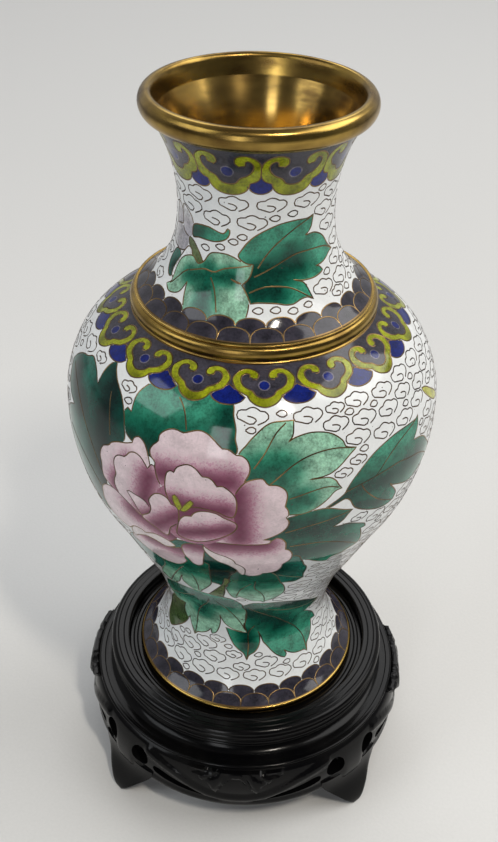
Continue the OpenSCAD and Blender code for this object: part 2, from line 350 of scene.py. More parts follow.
# ---------------------------------------------------------------- enamel cells and wires
PALETTES = {
    "white": [(0.74, 0.76, 0.765), (0.74, 0.76, 0.765)],
    "slate": [(0.022, 0.021, 0.030), (0.040, 0.037, 0.050)],
    "eye_ring": [(0.13, 0.12, 0.16), (0.13, 0.12, 0.16)],
    "navy": [(0.003, 0.006, 0.085), (0.004, 0.012, 0.14)],
    "lime": [(0.15, 0.17, 0.005), (0.27, 0.30, 0.008)],
    "bright_leaf": [(0.002, 0.045, 0.030), (0.008, 0.13, 0.078), (0.040, 0.25, 0.16)],
    "dark_leaf": [(0.001, 0.016, 0.014), (0.003, 0.060, 0.042), (0.016, 0.13, 0.095)],
    "pale_leaf": [(0.004, 0.085, 0.052), (0.045, 0.25, 0.155), (0.27, 0.50, 0.36)],
    "stem": [(0.05, 0.09, 0.03), (0.11, 0.15, 0.06)],
    "petal": [(0.13, 0.018, 0.056), (0.36, 0.16, 0.23), (0.63, 0.48, 0.52), (0.68, 0.56, 0.59)],
    "petal_edge": [(0.42, 0.27, 0.31), (0.70, 0.62, 0.62)],
    "bud": [(0.33, 0.32, 0.36), (0.60, 0.60, 0.61)],
    "gold_green": [(0.30, 0.30, 0.02), (0.42, 0.42, 0.05)],
}
FADE = {"petal": 0.78}  # share of a focus's reach in which these tones fade; 1 if not named
SPECKLE = {"petal": 0.75}  # how strongly tones are speckled where they meet; 0.25 if not named


def shade(skin, places, palette, foci, curve):
    """Paint of each place: the palette's first tone at a focus, its last tone far from all."""
    tones = np.array(PALETTES[palette])
    t = np.ones(len(places))
    for a, b, reach in foci:
        size = np.array([skin.mm_per_degree((a[1] + b[1]) / 2), 1])
        p, line = (places - a) * size, (np.array(b) - a) * size
        p[:, 0] -= np.round(p[:, 0] / (360 * size[0])) * 360 * size[0]
        share = np.clip(p @ line / max(line @ line, 1e-9), 0, 1)
        away = np.linalg.norm(p - share[:, None] * line, axis=1)
        t = np.minimum(t, away / (reach * FADE.get(palette, 1.0)))
    t = np.clip(t, 0, 1) ** curve
    t = t * t * (3 - 2 * t)
    x = t * (len(tones) - 1)
    i = np.clip(x.astype(int), 0, len(tones) - 2)
    f = (x - i)[:, None]
    rgb = tones[i] * (1 - f) + tones[i + 1] * f
    speckle = np.clip(4 * t * (1 - t), 0, 1) * SPECKLE.get(palette, 0.25)
    return np.column_stack([rgb, speckle])


class Picture:
    """The enamel cells and wires of one skin, drawn from back to front."""

    def __init__(self, skin, grid, margin=0.4, lift=None):
        self.skin, self.grid, self.margin, self.lift = skin, grid, margin, lift
        self.cells, self.strokes = [], []
        self.turn, self.flip = 0.0, 1

    def move(self, points):
        """Points of a motif, mirrored and turned round the vase as the picture now stands."""
        return [(self.flip * q[0] + self.turn, *q[1:]) for q in points]

    def move_foci(self, foci):
        """Dark places of a cell: a point or a line (two ends), then its reach in mm."""
        ends = [(q[:2], q[-3:-1], q[-1]) for q in foci]
        return [(*self.move([a, b]), reach) for a, b, reach in ends]

    def cell(self, outline, piece, palette, foci=(), curve=1.0, wire="motif_wire", smooth=True):
        """Adds one cell of enamel and, unless wire is None, the wire round it."""
        k = self.skin.chart
        chart = [(q[0] * k, *q[1:]) for q in self.move(outline)]
        loop = smooth_loop(chart, 0.7) if smooth else np.array([q[:2] for q in chart])
        self.cells.append({"loop": loop, "piece": piece, "palette": palette,
                           "foci": self.move_foci(foci), "curve": curve})
        if wire:
            self.strokes.append({"line": np.vstack([loop, loop[:1]]), "closed": True, "piece": wire,
                                 "level": len(self.cells)})

    def vein(self, line, piece="motif_wire"):
        """Adds one open wire."""
        k = self.skin.chart
        path = smooth_line([(q[0] * k, *q[1:]) for q in self.move(line)], 0.6)
        self.strokes.append({"line": path, "closed": False, "piece": piece,
                             "level": len(self.cells)})

    def covered(self, chart_points, above, gap=0.4):
        """Which chart points lie under, or at the edge of, a cell drawn after the given level."""
        hidden = np.zeros(len(chart_points), bool)
        for cell in self.cells[above:]:
            for turn in TURNS:
                loop = cell["loop"] + [turn * self.skin.chart, 0]
                low, high = loop.min(axis=0) - gap, loop.max(axis=0) + gap
                near = np.all((chart_points > low) & (chart_points < high), axis=1) & ~hidden
                if not near.any():
                    continue
                q = chart_points[near]
                d = np.hypot(q[:, None, 0] - loop[None, :, 0], q[:, None, 1] - loop[None, :, 1])
                hidden[near] = inside(q, loop) | (d.min(axis=1) < gap)
        return hidden

    def clouds(self, low, high, row, column):
        """Fills the free ground with rows of open scrolls, then the gaps with smaller ones."""
        k, skin = self.skin.chart, self.skin
        walls = [c["loop"] / [k, 1] for c in self.cells]
        marks = np.vstack([w + [t, 0] for w in walls for t in TURNS])
        across, up = np.meshgrid(np.arange(-180, 180), np.arange(0, skin.end + 1, 0.5),
                                 indexing="ij")
        spots = np.column_stack([across.ravel(), up.ravel()]).astype(float)
        taken = np.zeros(len(spots), bool)
        for wall in walls:
            for t in TURNS:
                taken |= inside(spots, wall + [t, 0])
        taken = taken.reshape(across.shape)
        nudges = sorted(((dx, ds) for dx in (-3.4, -2.2, -1.1, 0, 1.1, 2.2, 3.4)
                         for ds in (-1.6, -0.8, 0, 0.8, 1.6)), key=lambda q: math.hypot(*q))
        # shape, size, height of the first row, rise of a row, room for one, nudges, gap
        passes = ((CLOUD, 0.92, low, row, column, nudges, 0.5),
                  (CLOUD, 0.66, low - 3, row * 0.5, column * 0.35, nudges[:5], 0.55),
                  (DROP, 1.0, low - 3, row * 0.4, column * 0.25, nudges[:3], 0.6))
        for template, size, start, rise, run, tries, gap in passes:
            shape = smooth_run(template, 0.8) * size
            for i, s0 in enumerate(np.arange(start, high, rise)):
                scale = skin.mm_per_degree(s0)
                count = int(360 * scale / run)
                for j in range(count):
                    tilt, grow = rng.uniform(-0.07, 0.07), rng.uniform(0.93, 1.04)
                    a0 = (j + 0.5 * (i % 2)) * 360 / count - 180
                    near = marks[np.abs(marks[:, 1] - s0) < 7]
                    local = (near - [a0, s0]) * [scale, 1]
                    local = local[np.abs(local[:, 0]) < 10]
                    for dx, ds in tries:
                        spot = int(round(a0 + dx / scale + 180)) % 360, int(round((s0 + ds) * 2))
                        if taken[spot]:
                            continue
                        c, n = math.cos(tilt), math.sin(tilt)
                        mine = shape @ np.array([[c, n], [-n, c]]) * grow + [dx, ds]
                        if len(local):
                            d = np.hypot(mine[:, None, 0] - local[None, :, 0],
                                         mine[:, None, 1] - local[None, :, 1])
                            if d.min() < gap:
                                continue
                        line = mine / [scale, 1] + [a0, s0]
                        marks = np.vstack([marks] + [line + [t, 0] for t in TURNS])
                        self.strokes.append({"line": line * [k, 1], "closed": False,
                                             "piece": "cloud_wire", "level": len(self.cells)})
                        break

    def build_cells(self, ground_piece, depth=CELL_DEPTH):
        """Splits the whole skin into cells and builds each as a closed slab."""
        k, skin = self.skin.chart, self.skin
        half, low, top = 180 * k, self.margin, skin.end - self.margin
        nx, ny = 240, max(int(top / 1.2), 8)
        xs, ys = np.linspace(-half, half, nx + 1), np.linspace(low, top, ny + 1)
        loops = [np.vstack([np.column_stack([xs[:-1], np.full(nx, low)]),
                            np.column_stack([np.full(ny, half), ys[:-1]]),
                            np.column_stack([xs[:0:-1], np.full(nx, top)]),
                            np.column_stack([np.full(ny, -half), ys[:0:-1]])])]
        for cell in self.cells:
            for turn in TURNS:
                loop = cell["loop"] + [turn * k, 0]
                if loop[:, 0].max() > -half and loop[:, 0].min() < half:
                    loops.append(loop)
        outline = np.vstack(loops)
        edges, start = [], 0
        for loop in loops:
            n = len(loop)
            edges += [(start + i, start + (i + 1) % n) for i in range(n)]
            start += n
        gx, gy = np.meshgrid(np.arange(-half + self.grid, half, self.grid),
                             np.arange(low + self.grid, top, self.grid * 0.866))
        gx[1::2] += self.grid / 2
        dots = np.column_stack([gx.ravel(), gy.ravel()])
        dots = dots[(dots[:, 0] < half - 0.3) & (dots[:, 1] < top - 0.3)]
        room = self.grid * 0.5
        taken = set(map(tuple, np.floor(outline / room).astype(int).tolist()))
        keys = np.floor(dots / room).astype(int).tolist()
        dots = dots[np.array([tuple(q) not in taken for q in keys])]
        verts = [Vector(q) for q in np.vstack([outline, dots]).tolist()]
        flat, _, faces, _, _, _ = delaunay_2d_cdt(verts, edges, [], 0, 1e-5, False)
        flat = np.array([tuple(v) for v in flat])
        faces = np.array([f for f in faces if len(f) == 3])
        mid = flat[faces].mean(axis=1)
        good = (np.abs(mid[:, 0]) < half) & (mid[:, 1] > low) & (mid[:, 1] < top)
        faces, mid = faces[good], mid[good]
        ground = {"piece": ground_piece, "palette": "white", "foci": [], "curve": 1.0}
        owner = np.full(len(faces), -1)
        for i, cell in enumerate(self.cells):
            for turn in TURNS:
                owner[inside(mid, cell["loop"] + [turn * k, 0])] = i
        pieces = {}
        for i in range(-1, len(self.cells)):
            mine = faces[owner == i]
            if len(mine) == 0:
                continue
            cell = self.cells[i] if i >= 0 else ground
            if cell["piece"] != "opening":
                pieces.setdefault(cell["piece"], []).append((mine, cell))
        return {name: self.slabs(name, flat, parts, depth) for name, parts in pieces.items()}

    def slabs(self, name, flat, parts, depth):
        """One object of closed slabs: top and back follow the skin, the rims stand square."""
        skin, k = self.skin, self.skin.chart
        verts, faces, normals, colours = [], [], [], []
        base = 0
        for tris, cell in parts:
            used, local = np.unique(tris, return_inverse=True)
            local = local.reshape(tris.shape)
            places = np.column_stack([flat[used, 0] / k, flat[used, 1]])
            n = len(used)
            a, b, c = (flat[tris[:, i]] for i in range(3))
            (x0, y0), (x1, y1) = (b - a).T, (c - a).T
            area = x0 * y1 - x1 * y0
            local = np.where((area < 0)[:, None], local[:, ::-1], local)
            lift = self.lift(cell, places) if self.lift else 0.0
            verts.append(skin.place(places[:, 0], places[:, 1], lift))
            verts.append(skin.place(places[:, 0], places[:, 1], -depth))
            up = skin.normal(places[:, 0], places[:, 1])
            pairs = np.vstack([local[:, [0, 1]], local[:, [1, 2]], local[:, [2, 0]]])
            code = pairs[:, 0].astype(np.int64) * n + pairs[:, 1]
            back = pairs[:, 1].astype(np.int64) * n + pairs[:, 0]
            rim = pairs[~np.isin(code, back)]
            faces += (local + base).tolist() + (local[:, ::-1] + base + n).tolist()
            sides = np.column_stack([rim[:, 1], rim[:, 0], rim[:, 0] + n, rim[:, 1] + n]) + base
            faces += sides.tolist()
            normals.append(up[local].reshape(-1, 3))
            normals.append(-up[local[:, ::-1]].reshape(-1, 3))
            p = verts[-2]
            along = p[rim[:, 1]] - p[rim[:, 0]]
            out = np.cross(along, up[rim[:, 0]])
            out /= np.linalg.norm(out, axis=1, keepdims=True) + 1e-12
            normals.append(np.repeat(out, 4, axis=0))
            paint = shade(skin, places, cell["palette"], cell["foci"], cell["curve"])
            colours += [paint, paint]
            base += 2 * n
        obj = new_object(name, np.vstack(verts).tolist(), faces)
        mesh = obj.data
        if self.lift:
            mesh.set_sharp_from_angle(angle=math.radians(48))
        else:
            mesh.normals_split_custom_set(np.vstack(normals).tolist())
        layer = mesh.color_attributes.new("paint", "FLOAT_COLOR", "POINT")
        layer.data.foreach_set("color", np.vstack(colours).astype(np.float32).ravel())
        return obj

    def build_wires(self):
        """Sweeps every visible stretch of wire; returns one object for each wire piece."""
        groups = {}
        for stroke in self.strokes:
            line, runs = stroke["line"], groups.setdefault(stroke["piece"], [])
            middle = (line[1:] + line[:-1]) / 2
            hidden = self.covered(middle, stroke["level"])
            hidden |= (middle[:, 1] < 0.1) | (middle[:, 1] > self.skin.end - 0.1)
            if stroke["closed"] and not hidden.any():
                runs.append((line[:-1], True))
                continue
            if stroke["closed"]:
                order = np.roll(np.arange(len(middle)), -int(np.argmax(hidden)))
                line = line[np.append(order, order[0])]
                hidden = hidden[order]
            run = []
            for i, off in enumerate([*hidden, True]):
                if not off:
                    run = run + [i + 1] if run else [i, i + 1]
                elif run:
                    if len(run) > 2:
                        runs.append((line[run], False))
                    run = []
        return {name: self.sweep(name, runs) for name, runs in groups.items()}

    def sweep(self, name, runs):
        """One object of wires: a flat strip on edge along each run, its top slightly rounded."""
        skin, k = self.skin, self.skin.chart
        half = WIRE_WIDTH / 2
        section = [(-half, -WIRE_DEPTH), (-half, 0.0), (-half * 0.55, WIRE_PROUD),
                   (half * 0.55, WIRE_PROUD), (half, 0.0), (half, -WIRE_DEPTH)]
        m = len(section)
        verts, faces, base = [], [], 0
        for line, closed in runs:
            angle, s = line[:, 0] / k, line[:, 1]
            scale = skin.mm_per_degree(s)
            if closed:
                da, ds = (np.roll(v, -1) - np.roll(v, 1) for v in (angle, s))
            else:
                da, ds = np.gradient(angle), np.gradient(s)
            tx = da * scale
            size = np.hypot(tx, ds) + 1e-9
            px, ps = -ds / size, tx / size
            n = len(line)
            ring = np.stack([skin.place(angle + px * off / scale, s + ps * off, lift)
                             for off, lift in section], axis=1)
            verts.append(ring.reshape(-1, 3))
            for i in range(n if closed else n - 1):
                here, there = base + i * m, base + (i + 1) % n * m
                for q in range(m):
                    w = (q + 1) % m
                    faces.append((here + w, here + q, there + q, there + w))
            if not closed:
                faces.append(tuple(range(base, base + m)))
                faces.append(tuple(range(base + n * m - 1, base + n * m - m - 1, -1)))
            base += n * m
        obj = new_object(name, np.vstack(verts).tolist(), faces)
        obj.data.set_sharp_from_angle(angle=math.radians(50))
        return obj


CLOUD = [(-1.5, -0.1), (0.2, -0.4), (1.1, -1.2), (0.4, -2.1), (-0.7, -2.3), (-2, -1.8),
         (-3.2, -1.3), (-4.1, -1.0), (-4.5, 0), (-4.2, 1.1), (-3.4, 1.5), (-2, 1.6), (-1.3, 2.1),
         (0, 2.5), (1.2, 2.1), (2.1, 1.5), (3.4, 1.4), (4.4, 0.4), (4.4, -0.5), (3.6, -1.3),
         (2.3, -2.0), (1.5, -2.4)]
DROP = [(-1.7, 0), (-0.8, 0.7), (0.4, 0.9), (1.2, 0.4), (1.2, -0.4), (0.4, -0.9), (-0.8, -0.7),
        (-1.7, -0.1)]


# ---------------------------------------------------------------- borders
def mirrored(half):
    """A symmetric outline from its right half, which starts and ends near the axis."""
    back = [(-q[0], *q[1:]) for q in reversed(half)]
    return half + [q for q in back if abs(q[0]) > 1e-6]


def band(pic, low, high, piece, palette):
    """A full ring of one colour, between two heights of the profile."""
    around = np.linspace(-180, 180, 121)
    outline = [(a, low) for a in around] + [(a, high) for a in around[::-1]]
    pic.cell(outline, piece, palette, wire=None, smooth=False)


def scale_border(pic, piece, count, first, tops, cusps):
    """Rows of overlapping scales; the lowest row lies in front."""
    half = 180 / count
    for row, (top, cusp) in enumerate(zip(tops, cusps)):
        for i in range(count):
            centre = first + half * (row % 2) + 2 * half * i
            pic.turn, pic.flip = centre, 1
            arch = [(half * math.cos(t), cusp + (top - cusp) * math.sin(t) ** 0.8)
                    for t in np.radians(np.linspace(0, 180, 9))]
            pic.cell([(half, 0.0, 1), (*arch[0], 1), *arch[1:-1], (*arch[-1], 1), (-half, 0.0, 1)],
                     piece, "slate", [(0, top - 2.5, 3.5)], wire="border_wire")
    pic.turn = 0.0


def ruyi_border(pic, piece, centres, lobe_half, lobe, head, inner, eye, eye_size, band_low, top):
    """Cloud-collar heads hanging from a slate band, with a navy lobe between each pair."""
    band(pic, band_low, top + 2, piece + "_slate_enamel", "slate")
    spacing = 360 / len(centres)
    apex, corner, bottom = lobe
    for c in centres:
        pic.turn, pic.flip = c + spacing / 2, 1
        w = lobe_half
        pic.cell([(0, apex, 1), (w, corner, 1), (w * 0.8, bottom + 1.1), (w * 0.4, bottom + 0.2),
                  (0, bottom), (-w * 0.4, bottom + 0.2), (-w * 0.8, bottom + 1.1), (-w, corner, 1)],
                 piece + "_navy_enamel", "navy", wire="border_wire")
    for c in centres:
        pic.turn = c
        pic.cell(mirrored(head), piece + "_lime_enamel", "lime", [(0, head[-1][1] + 0.5, 4)],
                 wire=None)
        pic.cell(mirrored(inner), piece + "_slate_enamel", "slate", wire=None)
        pic.vein(mirrored(head), "border_wire")
        pic.vein(mirrored(inner), "border_wire")
        for size, palette, name in ((1.0, "eye_ring", "_slate_enamel"),
                                    (0.8, "navy", "_navy_enamel")):
            rx, ry = eye_size[0] * size, eye_size[1] * size
            ring = [(rx * math.cos(t) / pic.skin.mm_per_degree(eye), eye + ry * math.sin(t))
                    for t in np.radians(np.arange(0, 360, 30))]
            pic.cell(ring, piece + name, palette, wire=None)
    pic.turn = 0.0


# ---------------------------------------------------------------- the flower and leaves
def body_leaves_behind(pic):
    """Leaves that lie behind the flower, above and to its left."""
    leaf, green = "leaf_enamel", "bright_leaf"
    pic.cell([(-35.6, 127), (-37.3, 129.5), (-38.8, 132.5), (-38, 134.2, 1), (-36.2, 133.7, 1),
              (-36.5, 138.5), (-35, 141.5), (-33.3, 143), (-20, 145.5), (-3.8, 143), (-3, 139.5),
              (-2, 136), (-2, 133.5), (-1.5, 129.5), (-15, 122)],
             leaf, green, [(-34, 125, -4, 127, 15), (-5, 134, -5, 140, 6)])
    pic.vein([(-21.7, 142), (-19.7, 140.2), (-18, 137.5), (-16.8, 134)])
    pic.cell([(-51.7, 143.2, 1), (-53.5, 141.5), (-54.3, 139), (-54, 134.6, 1), (-55.2, 135.2),
              (-57.3, 136.7), (-63.8, 138.6), (-67.3, 137), (-70, 136.2), (-73.2, 134.5),
              (-75.5, 132.5), (-77.3, 130.2, 1), (-75.5, 127.5), (-72.6, 125), (-68.5, 123),
              (-64.5, 122, 1), (-70, 118.5), (-72.5, 113), (-71, 107), (-67, 101), (-55, 92),
              (-50, 90, 1), (-46, 95), (-44, 110), (-38, 122), (-36.2, 125.5), (-37.3, 129),
              (-38.5, 132), (-41.4, 135.7), (-47.3, 139.5), (-50, 141.5)],
             leaf, "dark_leaf", [(-46, 137, -44, 100, 17), (-70, 131, -58, 124, 8)], 0.9)
    pic.vein([(-46.7, 135.5), (-43.8, 129), (-42, 124)])
    pic.vein([(-74, 131), (-66, 128.5), (-58, 124), (-51, 117), (-46, 109)])
    pic.vein([(-68, 113), (-61, 111), (-54, 107), (-48, 101)])


def body_leaves_right(pic):
    """Leaves to the right of the flower."""
    leaf = "leaf_enamel"
    pic.cell([(67.7, 130.9, 1), (70.5, 130), (74, 127.5), (78, 124.5), (81, 121, 1), (76, 122.5),
              (69, 128.5)], leaf, "gold_green")
    pic.cell([(24.5, 110.2, 1), (30, 113.5), (30.8, 115), (33, 118), (39.5, 123.2), (48, 125.5),
              (57, 125.3), (60, 125.1), (61.3, 125.7, 1), (60.5, 122.5), (58, 119.2, 1),
              (63, 117.5), (66, 115.5), (69, 112.5), (72, 109.5), (75, 104, 1), (70, 104),
              (60, 103.2), (55.5, 104.7), (52, 106.5), (49, 108), (47.5, 109.2, 1), (52.2, 103),
              (52, 100.5, 1), (50, 100), (47, 100.2), (43, 101.5), (34.5, 106.5), (32, 110.5),
              (30.5, 111.5), (26, 110)], leaf, "bright_leaf",
             [(28, 112, 62, 112, 11), (34, 108, 46, 103, 6)], 1.1)
    pic.vein([(30, 113.7), (33, 114.5), (50, 115.5), (55.5, 114), (63, 111.5), (73, 105)])
    pic.vein([(41, 115.5), (45.5, 119.7), (50.5, 122.5), (60, 125)])
    pic.vein([(35.7, 114.5), (37.5, 111.5), (44, 105), (51, 100.6)])
    pic.cell([(13.5, 108.7), (21.5, 110.1), (25, 109.8), (31, 107.2), (33.7, 106.2, 1), (32.5, 105),
              (31.2, 103), (30, 102), (28, 101.2, 1), (30, 100.7), (33, 100.5), (38, 98),
              (40.5, 96.5), (41.5, 94.7, 1), (39.5, 94.7, 1), (41.5, 90), (42.2, 87), (42, 85.2, 1),
              (35.5, 83), (32, 82.7), (31, 80.5, 1), (28, 82), (25, 84), (22.5, 86), (20.5, 86.7),
              (18, 89.5), (8, 92), (6, 106)], leaf, "bright_leaf",
             [(12, 105, 30, 100, 12), (12, 94, 34, 90, 9)], 1.3)
    pic.vein([(13, 102.5), (19, 103.9), (25, 104.7), (33, 106)])
    pic.vein([(15, 95.7), (19, 95.7), (25, 95), (32, 92), (41, 86)])
    pic.cell([(-0.5, 130), (1, 131.7), (3, 134), (8, 137.7), (15.5, 138.2, 1), (14.7, 134),
              (13.3, 132.5, 1), (15.3, 133.5), (20.5, 134.3), (26.5, 133), (30, 130), (30.5, 128.5),
              (34, 127.2, 1), (32, 126), (26.5, 122.2), (24, 121.4), (19, 121.1, 1), (25, 120.5),
              (27, 119), (28, 117.2), (29, 115.9, 1), (27, 115.5), (25, 113.5), (22.5, 111.5),
              (19.5, 110), (17, 109.5), (14.5, 109.7), (6, 110), (2, 120), (-2, 125)], leaf,
             "pale_leaf", [(-1, 122, 10, 124, 12), (10, 112, 17, 115, 8)])
    pic.vein([(8, 120.7), (14, 125.7), (18, 127.7), (22, 128.6), (27, 128.7), (33.5, 127.3)])
    pic.vein([(3.5, 125.5), (6, 129), (10, 135.2), (13, 137.7)])
    pic.vein([(13.5, 115.5), (21.5, 117.4), (25, 117.5), (28, 116.5)])


def body_leaves_below(pic):
    """Leaves below the flower, down to the two that hang onto the foot."""
    leaf = "leaf_enamel"
    pic.cell([(-44, 82), (-30, 92), (0, 96), (18, 90), (22, 83), (24, 77), (20, 71), (8, 67),
              (-5, 66), (-12, 68), (-24, 68), (-36, 62), (-46, 66), (-48, 74)], leaf, "dark_leaf",
             [(-20, 80, 12, 78, 14)])
    pic.cell([(18, 90), (20, 87), (21.7, 83), (23.3, 80.5), (24, 77.5), (24, 74), (25, 70.5, 1),
              (22, 68.5), (17.8, 69.2), (15.8, 69.4), (5, 72), (0, 80), (6, 88)],
             leaf, "dark_leaf", [(10, 82, 10)])
    pic.vein([(2, 83), (10, 79), (18, 74), (24, 71)])
    pic.cell([(-11, 84), (-11, 81), (-11.7, 75), (-12.5, 67), (-14.4, 63.5), (-16.7, 60.5),
              (-19, 58), (-20.8, 55.2, 1), (-23.3, 56), (-26, 58), (-27.8, 61), (-26, 66.5, 1),
              (-28, 63.5), (-30.5, 59), (-34, 55.5), (-38, 52.5, 1), (-43, 55), (-41, 60),
              (-32, 72), (-34, 80, 1), (-22, 86)], leaf, "pale_leaf", [(-34, 78, -10, 79, 15)],
             1.1)
    pic.vein([(-20, 71), (-19.7, 66), (-20, 61), (-21.1, 56.5)])
    pic.vein([(-22, 76), (-34, 60), (-39, 54)])
    pic.cell([(15.8, 69.4, 1), (17.5, 67), (19.2, 61.5), (18.9, 59.5), (16.7, 56.5), (13.9, 54.5),
              (11.7, 53.8), (10.8, 52.5, 1), (8.9, 54), (5, 54.5), (-0.6, 57.8), (-1.4, 58, 1),
              (-2.8, 56.5, 1), (-4.4, 57.5), (-6.5, 65), (-5.6, 67), (-3, 78), (4, 84), (12, 78)],
             leaf, "pale_leaf", [(-4, 76, 14, 76, 17)], 1.4)
    pic.vein([(5.6, 72), (5.6, 66), (8.3, 62), (10.3, 58), (11, 54)])
    pic.cell([(-6, 73), (-7.8, 67.5), (-16.7, 55), (-20, 50), (-14, 50), (-10, 54), (-7.5, 61),
              (-6.9, 65), (-4.5, 72)], leaf, "stem")
    pic.vein([(4, 70), (0, 65), (-2.6, 58)])
    # the two leaves that hang onto the foot
    pic.cell([(-38, 36), (-40, 30), (-46, 24), (-54, 19.5), (-64, 16), (-71, 19), (-68, 26),
              (-58, 33), (-46, 39)], leaf, "stem", [(-42, 30, -60, 20, 8)])
    pic.cell([(-10.3, 56, 1), (-5.3, 55.2), (0.1, 50), (1.8, 46), (1.8, 38), (0.9, 34),
              (2.6, 29.8, 1), (-4.5, 30.7), (-8.7, 32.2), (-12, 34.5), (-14.1, 39, 1),
              (-14.1, 36.5), (-14.9, 33), (-16.6, 29.5), (-19.1, 26.7), (-22, 25.5, 1),
              (-22.8, 28, 1), (-25.3, 26), (-30.3, 24), (-33.7, 23.2), (-36.6, 21.5, 1),
              (-39.1, 24), (-40.2, 27), (-39.9, 30, 1), (-41.2, 28), (-43.3, 27.7, 1),
              (-44.1, 30.5), (-42.8, 34), (-40.3, 37), (-48, 36), (-56, 38, 1), (-53, 43),
              (-47, 49), (-35, 54), (-20, 56)], leaf, "pale_leaf",
             [(-50, 47, -8, 50, 13), (-20, 46, -26, 38, 7)])
    pic.vein([(-14.5, 50), (-9.9, 46), (-1.6, 36.5), (1.8, 31)])
    pic.vein([(-18, 50), (-20.3, 46), (-25.3, 41.5), (-29.5, 36.5), (-36.6, 22)])
    pic.vein([(-26, 50), (-36, 45), (-46, 41), (-54, 38.5)])
    pic.cell([(0.1, 48.2), (2.6, 50.2), (5.5, 51.7), (13, 51.2), (19.7, 50.5), (25.5, 49),
              (31.3, 46.7), (38, 44.5), (44.7, 41.5), (55.5, 37.5, 1), (50.5, 36.5),
              (43.4, 34.5, 1), (47.2, 33), (55.5, 28.5), (60.9, 24.2, 1), (55.1, 25, 1),
              (55.9, 22.5), (54.7, 20), (52.2, 18), (49.3, 16.5), (48, 13.5, 1), (46.3, 14.5),
              (42.2, 15), (37.2, 15.7), (33, 17), (29.7, 18.5, 1), (31.3, 16.5), (29.7, 15.5, 1),
              (26.3, 16.5), (22.2, 18.5), (18, 21.5), (14.7, 24), (13.4, 26), (10.5, 30.2, 1),
              (11.8, 27.5), (12.2, 24.5), (11.3, 22), (8.8, 20), (4.7, 18.5), (3.4, 16.7, 1),
              (1.3, 19.2), (-2.8, 21), (-6.2, 23), (-8.7, 26), (-11.2, 31.5, 1), (-3, 30),
              (3, 29.5, 1), (1.5, 34), (2.5, 40), (2, 45)], leaf, "bright_leaf",
             [(2, 45, 26, 33, 10), (20, 49, 52, 38, 6), (2, 30, 4, 22, 5)], 1.2)
    pic.vein([(3, 47), (7.2, 44.5), (21.3, 37.5), (29.7, 32.5), (38, 27.5), (46.3, 20.5),
              (48.2, 14)])
    pic.vein([(8, 34), (4, 29.5), (4.3, 22), (3.5, 17.2)])
    pic.vein([(14, 45), (26, 42), (40, 39.5), (54, 37.5)])


